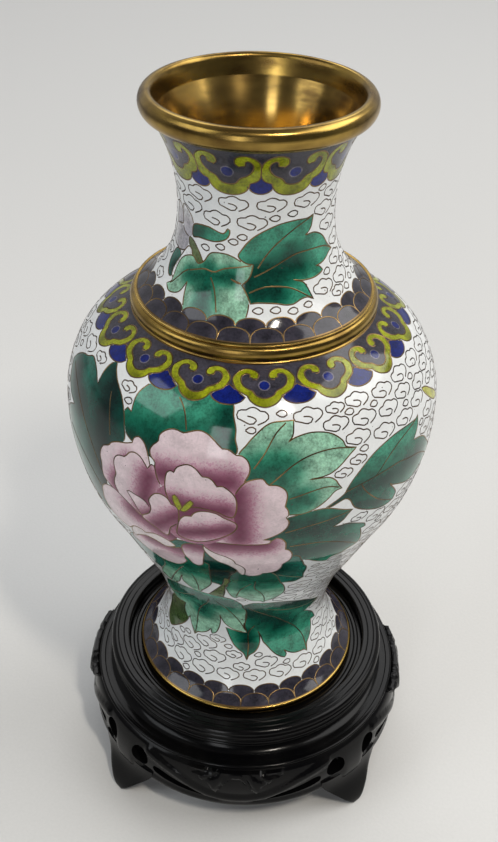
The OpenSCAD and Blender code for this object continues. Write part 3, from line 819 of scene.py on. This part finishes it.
def peony(pic):
    """The flower: petals from the back ones to the front ones, with two stamens."""
    piece = "peony_enamel"

    def petal(outline, focus):
        pic.cell(outline, piece, "petal", [focus])

    petal([(-29, 126.7), (-31.5, 128), (-33, 127), (-33.3, 125.5, 1), (-35.5, 124.5),
           (-38.5, 123.5), (-41, 122.2), (-42.3, 120.7), (-44.5, 119.5), (-45.8, 117.5),
           (-46.3, 115), (-45.8, 112.5), (-46, 110), (-45.5, 107.7), (-43, 106), (-40.5, 105.2, 1),
           (-33, 105), (-26, 115)], (-34, 118, -40, 108, 9))
    petal([(-23, 115), (-23.5, 119), (-25, 121.2), (-26, 121.5), (-27.3, 119.8, 1), (-30, 122.5),
           (-32, 123), (-33.8, 122.3), (-34.8, 121), (-35.8, 120, 1), (-37.5, 119.7), (-39, 118.7),
           (-40, 116.5), (-39.3, 112.3, 1), (-40.3, 110), (-40.5, 108), (-39.5, 105.5),
           (-35, 102.5), (-31, 99.5), (-22, 102)], (-27, 117, -30, 103, 10))
    petal([(-25, 121), (-25, 122.5), (-26.5, 124), (-27, 125.8), (-26.2, 127.5, 1), (-24.8, 129),
           (-24.8, 130.5), (-23, 132.5), (-20.5, 133.4), (-17.5, 133, 1), (-13, 134.5),
           (-10.5, 134.1), (-5.5, 130.5, 1), (-4, 130.5), (-1.5, 129.1, 1), (0, 129), (1.5, 128),
           (2.4, 126), (2.2, 124), (1, 121.5), (0, 118), (-5, 115), (-22, 115)],
          (-23, 120, -3, 121, 11))
    petal([(-31, 100), (-35, 102.5), (-41, 105.4), (-44.5, 105), (-47, 103.5), (-48.5, 101.5),
           (-49.3, 99, 1), (-50, 96.5), (-50, 94), (-48.5, 91), (-41.5, 88.7), (-39.7, 89, 1),
           (-38, 90.7), (-35.5, 92.2), (-33, 92.2), (-32, 91.5, 1), (-30, 92.7), (-27.5, 93.5),
           (-25, 93.2), (-23, 92.5), (-19, 97), (-22, 99)], (-34, 101, -20, 96, 12))
    petal([(-40.5, 85), (-37, 87), (-31.5, 90), (-28, 89.7), (-25, 88.7), (-21, 89.7),
           (-17.5, 91.5), (-19, 84), (-18.5, 83, 1), (-19.5, 81), (-22, 78), (-25, 76), (-33, 75.5),
           (-41.5, 81.5)], (-32, 90, -20, 90, 11))
    pic.cell([(-39.5, 86.5), (-38, 90.7), (-35.5, 92.2), (-33, 92.2), (-32, 91.5, 1), (-27.5, 93.5),
              (-22.5, 92.2), (-21, 90.7), (-25, 88.7), (-28, 89.7), (-31.5, 90), (-37, 87),
              (-38.5, 85.3)], piece, "petal_edge")
    petal([(-18, 93), (-11.2, 95), (-11.5, 90), (-12.2, 86), (-12.5, 84), (-13.5, 82), (-15, 81.2),
           (-16.5, 82), (-17.2, 84), (-18.5, 87)], (-17, 94, -12, 94, 9))
    petal([(9.3, 99.3), (10.5, 100.5), (12, 100), (13.5, 98), (13.8, 94.5, 1), (15, 93.8),
           (16.2, 91.5), (16, 88.5), (13.8, 85.8, 1), (13.7, 83.5), (12.5, 81), (10.5, 79.8),
           (7.7, 79.5, 1), (7, 78.3), (5, 77.3), (2.5, 77.5), (1.5, 78.5, 1), (1.5, 83), (0.5, 85),
           (-1.5, 86.7, 1), (-2.2, 88.7), (-4.5, 90.5), (-8, 92), (-10.5, 94), (-11.2, 95.5),
           (-12, 99)], (-8, 97, 7, 98, 12))
    pic.cell([(-11.2, 95), (-11, 92), (-7, 87), (-4.5, 85.7), (-1.5, 82.5), (-0.7, 80),
              (0.5, 78, 1), (1.5, 78.5, 1), (1.5, 83), (0.5, 85), (-1.5, 86.7, 1), (-2.2, 88.7),
              (-4.5, 90.5), (-8, 92), (-10.5, 94)], piece, "petal_edge")
    petal([(0, 120), (2, 121.8), (6, 122.5), (7, 121.2), (7.8, 120.5, 1), (10, 120.3), (12, 119),
           (12.9, 117), (12.4, 113, 1), (13.3, 111.5), (13.5, 109.5), (12.9, 108.8, 1), (13.8, 107),
           (13.5, 105), (12, 103), (9.5, 101.2), (6.8, 99.9, 1), (9, 99.5), (8.7, 98.3),
           (3.5, 97.6), (-5, 97.6), (-9, 98), (-6, 108), (-3, 114)], (-1, 117, 0, 101, 12))
    pic.cell([(-25, 110), (-22, 116), (-12, 118), (-3, 112), (-2, 104), (-10, 96), (-20, 96)],
             piece, "petal", [(-14, 108, 40)], wire=None)
    petal([(-21.5, 114), (-21, 120.8), (-19.8, 121.5), (-19, 121.2, 1), (-18.2, 123), (-15, 124.6),
           (-13, 124), (-10.7, 121.8, 1), (-9, 121.8), (-7.7, 121), (-6.5, 119.3, 1), (-5, 119.6),
           (-1.5, 116.5), (-1.2, 111), (-2.2, 109), (-4, 109.3), (-6.5, 110.5), (-13, 111),
           (-17, 109), (-20, 111)], (-19, 111, -4, 111, 10))
    for tip, foot in (((-18.7, 113.2), (-17.2, 108.6)), ((-14, 112.5), (-16.6, 108.4))):
        (ax, ay), (bx, by) = tip, foot
        pic.cell([(bx - 0.6, by), (ax - 0.8, ay), (ax, ay + 0.7), (ax + 0.8, ay), (bx + 0.6, by)],
                 "stamen_enamel", "lime")
    petal([(-35.5, 108, 1), (-34.5, 108.6), (-32, 108.2), (-30.3, 108), (-28.5, 107), (-26.5, 102),
           (-31, 99.7, 1), (-33.8, 105.5)], (-31, 100, -26, 104, 7))
    petal([(-27, 106), (-27.4, 108.5), (-25, 112), (-23, 112.5), (-21, 111.7), (-20, 110, 1),
           (-18.5, 109.5), (-17.8, 108), (-18.5, 103), (-21, 100), (-23, 95.5), (-27, 97.5),
           (-31, 100), (-28, 103)], (-26, 99, -18, 106, 9))
    petal([(-18.5, 102), (-17.5, 105), (-16, 106.7), (-14, 107.2, 1), (-13.3, 108.5),
           (-11.5, 109.8), (-9, 110.2), (-6.5, 109.8), (-5, 108.8), (-1, 106.5), (-2, 103),
           (-11, 97), (-15, 96.3), (-19, 97.5)], (-18, 99, -3, 104, 8))


def draw_body():
    """The body: the spray of the photo on the front, and its mirror image on the back."""
    pic = Picture(BODY, 1.6)
    for pic.turn, pic.flip in ((0, 1), (180, -1)):
        body_leaves_behind(pic)
        body_leaves_right(pic)
        body_leaves_below(pic)
        peony(pic)
    centres = [6.9 + 24 * k + 1.6 * math.sin(math.radians(24 * k)) for k in range(15)]
    ruyi_border(pic, "shoulder", centres, 6.0, (148.2, 144.7, 142.5),
                [(-4.2, 150, 1), (-2.8, 150.1), (-1.9, 151.2), (-2.6, 152.4), (-4.6, 153.2),
                 (-7.4, 153.3), (-10.1, 152.3), (-11.9, 150), (-11.5, 148.8), (-10.1, 147),
                 (-7.8, 145.9), (-6, 145.2, 1), (-5.1, 144), (-3.3, 142.8), (-1, 142.1),
                 (0, 142.0)],
                [(-4.35, 150.4, 1), (-5.3, 150.7), (-5.5, 151.6), (-6.9, 151.8), (-8.5, 151),
                 (-8.7, 149.8), (-7.8, 148.2), (-6, 147.2), (-4.2, 146.5), (-3.3, 145.5),
                 (-1, 144.6), (0, 144.5)], 148.2, (1.7, 1.6), 146, BODY.end)
    band(pic, -1, 4.9, "scale_foot_enamel", "slate")
    scale_border(pic, "scale_foot_enamel", 24, 0.5, (7.5, 4.7), (4.6, 1.2))
    pic.clouds(11.0, 141.5, 5.33, 9.1)
    return pic


def draw_neck():
    """The neck: buds and leaves on the front, and their mirror image on the back."""
    pic = Picture(NECK, 1.2)
    leaf = "leaf_neck_enamel"
    for pic.turn, pic.flip in ((0, 1), (180, -1)):
        pic.cell([(-59.4, 19.8), (-54.1, 20.8), (-51.8, 22.7), (-51.8, 24.7), (-56.5, 25.3),
                  (-60, 26.3), (-65.3, 26.8), (-71.2, 26.3), (-74.7, 25), (-76.5, 23), (-75.3, 21),
                  (-71.2, 20)], "bud_enamel", "bud", [(-54, 23, 9)])
        pic.cell([(-49.4, 25.2), (-47, 27.3), (-48.2, 30.7), (-55.3, 33), (-59.4, 33.3),
                  (-61.2, 32.3), (-60.6, 30), (-61.2, 27.3), (-56.5, 25.3)], "bud_enamel", "bud",
                 [(-52, 26, 6)])
        pic.cell([(-61.2, 27.3), (-60.6, 30), (-62.4, 32), (-65.3, 33), (-68.8, 32.3), (-72.4, 28),
                  (-71.2, 26.3), (-65.3, 26.8)], "bud_enamel", "bud", [(-62, 27, 6)])
        pic.cell([(-47, 25.7), (-46.8, 29), (-33, 30.3), (-20, 29.5), (-17, 31.1), (-15.6, 30.7),
                  (-15.9, 29.3), (-18.2, 28), (-25.3, 26.7), (-41.2, 26.2)],
                 leaf, "bright_leaf", [(-46, 28, 8)])
        pic.cell([(-51.2, 24.8), (-47, 24.8), (-35.3, 20), (-34, 18.3), (-39.4, 18.3), (-44.7, 20),
                  (-49.4, 22)], leaf, "stem")
        pic.cell([(-60, 19.3), (-66.5, 19), (-69.4, 17.3), (-70, 14.7), (-66.5, 12.3),
                  (-61.2, 11.3), (-56, 14)], leaf, "dark_leaf", [(-62, 14, 4)])
        pic.cell([(-47, 21.8), (-50.6, 22.3), (-59.7, 16.7), (-61.2, 14.3), (-60.3, 12.3),
                  (-57.6, 11.7), (-54, 15), (-46, 19)],
                 "bud_enamel", "white")
        pic.cell([(-34.1, 20.3), (-31.8, 22), (-28.8, 23.2), (-18.2, 23.8), (-12.4, 23.3),
                  (-7, 22.3), (1.5, 21.6, 1), (-0.5, 18.3), (-6.1, 16.3), (-13, 17.2, 1), (-5, 16),
                  (-2.4, 13.7), (-0.6, 11), (-4.7, 5), (-18.5, 4.5), (-37, 5), (-39.4, 6.7),
                  (-42.4, 10), (-43.8, 13, 1), (-47, 9.3), (-54.7, 8), (-60, 9.2, 1), (-57, 10.7),
                  (-57.4, 11.7), (-58.2, 14.3), (-57.4, 16.7), (-54, 18.7), (-44.7, 20.3),
                  (-39, 19)], leaf, "pale_leaf", [(-30, 18, -28, 8, 6), (-44, 15, -12, 18, 5)])
        pic.vein([(-44.7, 16.3), (-33, 18.2), (-25.3, 18.2), (-18.2, 19.7), (0, 21.4)])
        pic.vein([(-27, 16.5), (-24.1, 14.7), (-21.2, 11.7), (-18.5, 7.7)])
        pic.vein([(-46, 16.2), (-50, 14.7), (-57, 10)])
        pic.cell([(-9.1, 23.7), (-6.7, 25.7), (0.9, 29.3), (17.4, 32.7), (30.4, 33.4), (40.9, 33.2),
                  (45.9, 33.8, 1), (44.5, 30.3), (42.1, 29), (39.2, 28.3, 1), (48, 28.2),
                  (57.4, 26), (63.9, 22.5), (68.9, 20.5, 1), (64.5, 20.3), (58.6, 19.2),
                  (53.9, 18.7), (47.4, 18.5, 1), (50.4, 18.2), (53.3, 16.7, 1), (50.4, 16.2),
                  (44.5, 15.8), (35, 16), (28.6, 16.7, 1), (35.6, 15.3), (39.5, 10.3, 1),
                  (35.6, 11.3), (31.5, 11.2), (25.6, 10.3), (20.9, 10.4), (15.6, 11), (4.5, 11.4),
                  (0.4, 11.1, 1), (-2, 13.5), (-5.5, 16, 1), (-1, 18), (1.5, 21.6, 1), (-4, 22)],
                 leaf, "bright_leaf", [(0, 17, 30, 22, 8), (4, 14, 16, 14, 6)], 1.3)
        pic.vein([(2.1, 18.3), (28, 23.3), (35, 23.8), (58.6, 22.8), (68, 20.7)])
        pic.vein([(4.5, 20.7), (9.2, 23.7), (15.6, 26.7), (30.4, 31), (45, 33.4)])
        pic.vein([(-0.8, 14), (5.6, 15.2), (11.5, 15.7), (25.6, 14.7), (39, 10.7)])
    ruyi_border(pic, "mouth", [25 + 40 * k for k in range(9)], 8.0, (48.3, 45, 42.3),
                [(7.6, 50.9, 1), (5.3, 52), (5.9, 54), (9.4, 54.9), (13.5, 54.8), (17, 53.8),
                 (19.3, 52.3), (19.8, 50.5), (19.8, 48.8), (19.3, 47.3), (17.6, 46.3),
                 (13.5, 45.6, 1), (12.6, 44.3), (10.6, 43), (6.5, 42), (0, 41.6)],
                [(8.0, 51.2, 1), (10.9, 51.5), (11.2, 52.8), (12.4, 53.2), (14.7, 52.5), (15.6, 51),
                 (14.7, 49.5), (11.8, 48), (7.6, 47), (4.7, 45.4), (0, 44.9)], 49.0, (1.9, 1.9), 46,
                NECK.end)
    band(pic, -1, 4.8, "scale_neck_enamel", "slate")
    scale_border(pic, "scale_neck_enamel", 23, 1.0, (7.3, 4.6), (4.4, 1.2))
    pic.clouds(12.3, 42, 5.3, 9.6)
    return pic


def build_pictures():
    """Builds the enamel and wire pieces of body and neck, in place of the CAD enamel."""
    nodes = {"body": ["shoulder_ruyi_enamel", "upper_body_enamel", "lower_body_enamel",
                      "foot_cloud_enamel", "foot_scale_enamel"],
             "neck": ["neck_ruyi_enamel", "neck_cloud_enamel", "neck_scale_enamel"]}
    slots = {"slate": "enamel_slate", "navy": "enamel_navy", "lime": "enamel_lime",
             "leaf": "enamel_green", "peony": "enamel_pink", "bud": "enamel_white",
             "stamen": "enamel_lime", "scale": "enamel_slate", "ground": "enamel_white"}
    finishes = {"body": WHITE_ENAMEL, "neck": WHITE_ENAMEL, "peony": PETAL_ENAMEL}
    for side, pic in (("body", draw_body()), ("neck", draw_neck())):
        cells = pic.build_cells(side + "_ground_enamel")
        for name, obj in cells.items():
            slot = next(v for key, v in slots.items() if key in name)
            own = nodes[side] if "ground" in name else []
            place_piece(obj, "vase", slot, finishes.get(name.split("_")[0], ENAMEL), *own)
        for name, obj in pic.build_wires().items():
            obj.name = side + "_" + name
            place_piece(obj, "vase", "brass", CLOUD_WIRE if "cloud" in name else WIRE)


build_pictures()


# ---------------------------------------------------------------- brass rings and linings
def offset_run(skin, lift):
    """Profile of a skin moved along its normal, as (radius, height) from bottom to top."""
    marks = np.linspace(0, skin.end, int(skin.end / 2.2) + 1)
    r, z = np.interp(marks, skin.s, skin.r), np.interp(marks, skin.s, skin.z)
    nr, nz = np.interp(marks, skin.s, skin.nr), np.interp(marks, skin.s, skin.nz)
    return [(a + n * lift, b + m * lift) for a, b, n, m in zip(r, z, nr, nz)]


def build_metal():
    """Brass rings and neck lining; the other kept CAD nodes get their metal or enamel."""
    top, foot = VASE_TOP, VASE_BASE
    rim = arc(29.4, top - 3.3, 2.6, 3.2, -82, 76, 22)
    profile = [(26.45, top - 6.8), (28.5, top - 6.8)] + rim + [
        (29.4, top - 0.08), (28.9, top - 0.22), (28.45, top - 0.65), (28.1, top - 1.4),
        (27.7, top - 2.8), (27.1, top - 4.8)]
    place_piece(turned("mouth_rim_band", profile, 320, 60), "vase", "brass", BRASS, "mouth_rim")
    z = foot + 140.2
    ring = [(34.1, z - 0.2), (35.9, z - 0.2)] + arc(34.5, z + 2.15, 1.8, 2.25, -58, 76, 20)
    ring += [(34.95, z + 4.42)] + arc(34.75, z + 4.72, 0.42, 0.36, -30, 120, 7)
    ring += [(34.2, z + 5.0), (33.0, z + 4.9), (33.2, z + 2)]
    place_piece(turned("shoulder_ring_band", ring, 320, 60), "vase", "brass", BRASS,
                "shoulder_ring")
    ring = [(35.2, foot), (37.6, foot)] + arc(37.1, foot + 1.6, 1.2, 1.5, -68, 70, 14)
    ring += [(37.3, foot + 3.1), (36.4, foot + 3.1), (35.4, foot + 2.2)]
    place_piece(turned("foot_ring_band", ring, 320, 60), "vase", "brass", BRASS, "foot_ring")
    tube = turned("neck_lining", offset_run(NECK, -0.7) + offset_run(NECK, -2.15)[::-1], 192, 60)
    place_piece(tube, "vase", "brass", BORE, "neck_shell")
    for name, material in (("upper_body_shell", COPPER), ("lower_body_shell", COPPER),
                           ("foot_shell", COPPER), ("base_plate", COPPER), ("mouth_wire", WIRE),
                           ("neck_base_wire", WIRE), ("shoulder_wire", WIRE), ("foot_wire", WIRE),
                           ("base_enamel", TURQUOISE)):
        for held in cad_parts[name].material_slots:
            held.material = material


# ---------------------------------------------------------------- stand
APRON = Skin([(51.2, 9.0), (52.6, 9.5), (54.0, 10.9), (55.2, 14), (55.8, 18), (55.9, 21.5),
              (55.5, 25), (54.6, 27.6), (53.2, 28.9)], 0.0, 0.97)


def turned_stand():
    """The rim, the hollow waist below it and the flat panel that the vase stands on."""
    z = STAND_TOP
    rim = [(42.4, 33.0), (42.4, z - 0.7)] + arc(43.0, z - 0.6, 0.6, 0.6, 180, 90, 4)
    for groove in (44.4, 46.4):
        rim += [(groove - 0.26, z), (groove, z - 0.2), (groove + 0.26, z)]
    rim += arc(47.0, z - 1.9, 1.9, 1.9, 84, 8, 10) + [(48.62, z - 2.1)]
    rim += arc(47.2, z - 3.4, 1.62, 1.3, 52, -42, 8) + [(48.1, z - 4.5)]
    rim += arc(47.4, z - 5.6, 1.25, 1.0, 50, -50, 8) + [(47.9, z - 6.7)]
    rim += arc(47.3, z - 7.3, 0.9, 0.65, 40, -80, 6) + [(46.4, 33.0)]
    place_piece(turned("stand_turned_rim", rim, 320, 30), "stand", "black_wood", LACQUER,
                "stand_rim")
    waist = [(46.3, 33.0)] + arc(50.2, 33.2, 3.9, 3.5, 182, 262, 12)
    waist += [(50.4, 29.7), (51.6, 29.55), (51.9, 29.75)] + arc(53.1, 29.15, 0.75, 0.62, 112, -60,
                                                                9)
    waist += [(52.6, 28.6), (44.0, 28.6), (44.0, 33.0)]
    place_piece(turned("stand_cove", waist, 320, 30), "stand", "black_wood", LACQUER,
                "stand_waist")
    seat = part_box("stand_seat")
    low, high = seat[0].z / MM, seat[1].z / MM
    panel = [(0, low), (42.35, low), (42.35, high - 0.3), (42.0, high)]
    for groove in (40.9, 39.6, 30.0, 18.0):
        panel += [(groove + 0.3, high), (groove, high - 0.3), (groove - 0.3, high)]
    panel += [(0, high)]
    place_piece(turned("stand_panel", panel, 256, 30), "stand", "black_wood", LACQUER,
                "stand_seat")


def nearest_line(places, line, scale):
    """Distance in mm from each place to a line of (degrees, mm) points."""
    p = places * [scale, 1]
    best = np.full(len(p), 1e9)
    q = np.array([(a * scale, b) for a, b in line])
    for a, b in zip(q, q[1:]):
        d = b - a
        share = np.clip((p - a) @ d / (d @ d), 0, 1)
        best = np.minimum(best, np.linalg.norm(p - a - share[:, None] * d, axis=1))
    return best


def height_to_run(outline):
    """Turns (degrees, height) into (degrees, mm along the apron)."""
    return [(q[0], float(np.interp(q[1], APRON.z, APRON.s)), *q[2:]) for q in outline]


LEAF_HALF = [(8, 28.2), (17.5, 28.2, 1), (16, 26.3), (13, 25.4), (12.4, 24.2, 1), (11, 23.6),
             (9.6, 23.2), (8.6, 21.2), (6.4, 19.4, 1), (4.9, 21.4), (4.1, 23.2), (2.9, 24.2, 1),
             (1.9, 25.6), (0.9, 26.0), (0, 25.7)]
LEAF_LINES = [[(3.5, 27), (4.8, 24.5), (6.3, 20.6)], [(6, 27.3), (9, 25.8), (11, 24.2)],
              [(9, 27.6), (12, 26.8), (15.5, 27.2)]]
SLOT = [(30.8, 17.8), (28, 16.4), (23, 15.4), (17, 14.7), (10.8, 14.2, 1), (14.5, 16.2),
        (19.5, 17.9), (24.5, 19.4), (28, 20.4), (30.6, 20.2)]
UPPER_SCROLL = [(33, 25.5), (28, 24.2), (22, 22.4), (16, 19.4), (10, 16.6), (4, 15.4), (0, 15.2)]
LOWER_STRAP = [(38, 14.5), (33, 13.2), (26, 12.4), (16, 11.8), (8, 11.6), (0, 11.6)]


def apron_lift(cell, places):
    """How far the carving stands out of the apron, in mm."""
    folded = np.column_stack([np.abs((places[:, 0] + 45) % 90 - 45), places[:, 1]])
    lift = np.zeros(len(places))
    scale = APRON.mm_per_degree(15)
    for line, width, height in ((height_to_run(UPPER_SCROLL), 1.9, 0.9),
                                (height_to_run(LOWER_STRAP), 2.1, 0.9)):
        d = nearest_line(folded, line, scale) / width
        lift = np.maximum(lift, height * np.clip(1 - d * d, 0, 1) ** 0.6)
    knee = np.clip((folded[:, 0] - 37) / 5, 0, 1)
    low = np.clip((19 - folded[:, 1]) / 12, 0, 1)
    lift = np.maximum(lift, 1.5 * knee * knee * (3 - 2 * knee) * low)
    if cell["piece"] == "leaf":
        leaf = [(q[0] * scale, *q[1:]) for q in height_to_run(mirrored(LEAF_HALF))]
        loop = smooth_loop(leaf, 0.4)
        edge = np.vstack([loop, loop[:1]]) / [scale, 1]
        inner = np.clip(nearest_line(folded, edge, scale) / 1.2, 0, 1)
        lift = 0.45 + 1.45 * np.sqrt(inner * (2 - inner))
        for line in LEAF_LINES:
            d = nearest_line(folded, height_to_run(line), scale)
            lift -= 0.8 * np.exp(-(d / 0.5) ** 2)
    return lift


def carved_apron():
    """The curved apron, with its scrolls, openings and one leaf over each side's middle."""
    pic = Picture(APRON, 0.85, 0.0, apron_lift)
    hole = [(37.0 + 3.7 * math.cos(t), 21.2 + 4.1 * math.sin(t))
            for t in np.radians(np.arange(0, 360, 30))]
    for turn in (0, 90, 180, 270):
        for flip in (1, -1):
            pic.turn, pic.flip = turn, flip
            pic.cell(height_to_run(hole), "opening", "slate", wire=None)
            pic.cell(height_to_run(SLOT), "opening", "slate", wire=None)
        pic.flip = 1
        pic.cell(height_to_run(mirrored(LEAF_HALF)), "leaf", "slate", wire=None)
    made = pic.build_cells("stand_carved_apron", 4.6)
    made["leaf"].name = "stand_apron_leaves"
    place_piece(made["stand_carved_apron"], "stand", "black_wood", LACQUER, "stand_apron")
    place_piece(made["leaf"], "stand", "black_wood", LACQUER)


def carved_foot(name, angle, node):
    """A foot that curls out from the apron to a narrow sole; its front is a smooth shield."""
    heights = np.array([0, 0.5, 1.2, 2.2, 3.4, 4.8, 6.4, 8, 9.6, 11.4, 13.4, 15.6])
    marks = [0, 0.8, 2.2, 4, 6, 8, 10, 13, 16]
    front = np.interp(heights, marks, [60.0, 60.2, 60.0, 59.5, 58.5, 57.3, 56.5, 56.2, 56.3])
    width = np.interp(heights, marks, [1.7, 2.3, 3.7, 5.3, 7.1, 9.0, 10.8, 12.9, 13.0])
    back = np.interp(heights, [0, 3, 6, 9, 16], [54.5, 51.5, 49.8, 48.6, 49])
    verts = []
    for z, f, w, b in zip(heights, front, width, back):
        t = np.linspace(-1, 1, 17)
        y = w * t
        drop = y * y / 120 + 0.35 * np.abs(t) ** 12
        outer = [(f - d, v) for d, v in zip(drop, y)]
        inner = [(b, v) for v in np.linspace(w * 0.8, -w * 0.8, 9)]
        verts += [(x, v, z) for x, v in outer + inner]
    n, m = 17 + 9, len(heights)
    faces = [tuple(reversed(range(n))), tuple(range((m - 1) * n, m * n))]
    faces += [(i * n + j, i * n + (j + 1) % n, (i + 1) * n + (j + 1) % n, (i + 1) * n + j)
              for i in range(m - 1) for j in range(n)]
    a = math.radians(angle)
    c, s = math.cos(a), math.sin(a)
    obj = new_object(name, [((x * c - y * s) * MM, (x * s + y * c) * MM, z * MM)
                            for x, y, z in verts], faces)
    obj.data.set_sharp_from_angle(angle=math.radians(38))
    place_piece(obj, "stand", "black_wood", LACQUER, node)


def build_stand():
    turned_stand()
    carved_apron()
    for side, angle in (("front_left", 225), ("front_right", 315),
                        ("back_left", 135), ("back_right", 45)):
        carved_foot("stand_carved_foot_" + side, angle, "stand_foot_" + side)


build_metal()
build_stand()


# ---------------------------------------------------------------- camera, light and floor
def aim_camera():
    """The photo's view, with the object turned a little round its axis."""
    data = bpy.data.cameras.new("camera")
    data.lens, data.sensor_width = 47.62, 36
    cam = bpy.data.objects.new("camera", data)
    bpy.context.scene.collection.objects.link(cam)
    round_object = math.radians(2.4)
    away, height, down, roll = 0.2874, 0.3388, math.radians(35.64), math.radians(1.30)
    turn, move = Matrix.Rotation, Matrix.Translation
    cam.matrix_world = (turn(round_object, 4, "Z") @ move((0, -away, height))
                        @ turn(math.radians(0.13), 4, "Z")
                        @ turn(math.pi / 2 - down, 4, "X") @ turn(roll, 4, "Z"))
    bpy.context.scene.camera = cam


def area_light(name, place, target, size, power, colour=(1, 1, 1)):
    data = bpy.data.lights.new(name, "AREA")
    data.shape, data.size, data.size_y = "RECTANGLE", size[0], size[1]
    data.energy, data.color = power, colour
    obj = bpy.data.objects.new(name, data)
    obj.location = place
    obj.rotation_euler = (Vector(target) - Vector(place)).to_track_quat("-Z", "Y").to_euler()
    bpy.context.scene.collection.objects.link(obj)


def light_scene():
    world = bpy.data.worlds.new("studio")
    world.use_nodes = True
    tree = Nodes(world.node_tree)
    up = tree.add("SeparateXYZ", {0: tree.add("TexCoord").outputs["Generated"]}).outputs[1]
    colour = tree.mix(tree.ramp(up, -0.5, 0.8), (0.17, 0.175, 0.185), (0.95, 0.95, 0.95))
    tree.put(tree.nodes["Background"].inputs[0], colour)
    tree.put(tree.nodes["Background"].inputs[1], 0.55)
    bpy.context.scene.world = world
    middle = (0, 0, 0.12)
    area_light("window", (0.95, 0.15, 1.15), middle, (1.1, 0.8), 10.5, (1.0, 0.99, 0.97))
    area_light("lamp", (0.35, -0.55, 1.1), middle, (0.07, 0.20), 5, (1.0, 0.93, 0.82))
    area_light("fill", (-0.9, -0.4, 0.9), middle, (0.6, 0.6), 3.5, (0.93, 0.97, 1.0))
    area_light("wall_wash", (0, 1.4, 1.6), (0, 1.1, 0), (1.6, 0.8), 11)
    area_light("low_window", (-0.42, -1.5, 0.62), (0, 0, 0.22), (0.30, 0.95), 4.5,
               (0.97, 0.98, 1.0))
    bpy.context.scene.view_settings.view_transform = "Standard"


def lay_floor():
    """A pale cloth of small squares, 9 m wide."""
    n, size = 60, 9.0
    m = n + 1
    verts = [((i / n - 0.5) * size, (j / n - 0.5) * size, 0.0) for j in range(m) for i in range(m)]
    faces = [(q, q + 1, q + m + 1, q + m) for q in (j * m + i for j in range(n) for i in range(n))]
    obj = new_object("floor", verts, faces)
    cloth = Material("pale_cloth", Roughness=0.9)
    weave = cloth.noise(cloth.here, 900, 2, 0.6)
    cloth.set(Base_Color=cloth.mix(weave, (0.62, 0.62, 0.61), (0.68, 0.675, 0.665)))
    cloth.bump(weave, 0.0001, 0.4)
    obj.data.materials.append(cloth.made)


aim_camera()
light_scene()
lay_floor()
